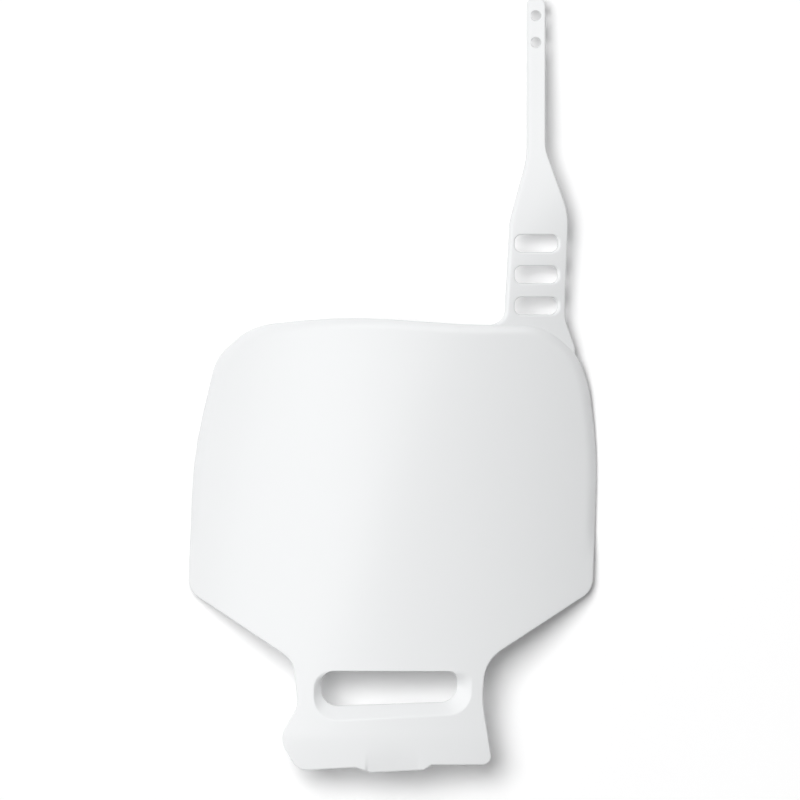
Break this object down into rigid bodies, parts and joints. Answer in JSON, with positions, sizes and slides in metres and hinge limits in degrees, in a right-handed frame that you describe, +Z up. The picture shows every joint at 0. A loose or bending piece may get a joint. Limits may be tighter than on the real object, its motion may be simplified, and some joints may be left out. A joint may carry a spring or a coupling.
{
  "type": "number board",
  "caption": "White plastic competition number board for a motorbike: a curved shield with a windowed lower tab, a recessed lip and a slotted fixing strap.",
  "frame": {"origin": "middle of the bounding box on the floor that the board rests on", "axes": "+Y along the board towards the tip of its fixing strap, +Z up, out of the curved face, +X across the board towards the strap's side"},
  "size_m": [0.2348, 0.446, 0.0374],
  "materials": {
    "number_board": "semi-gloss white"
  },
  "bodies": {
    "root": {"number_board": "number_board"}
  },
  "joints": []
}
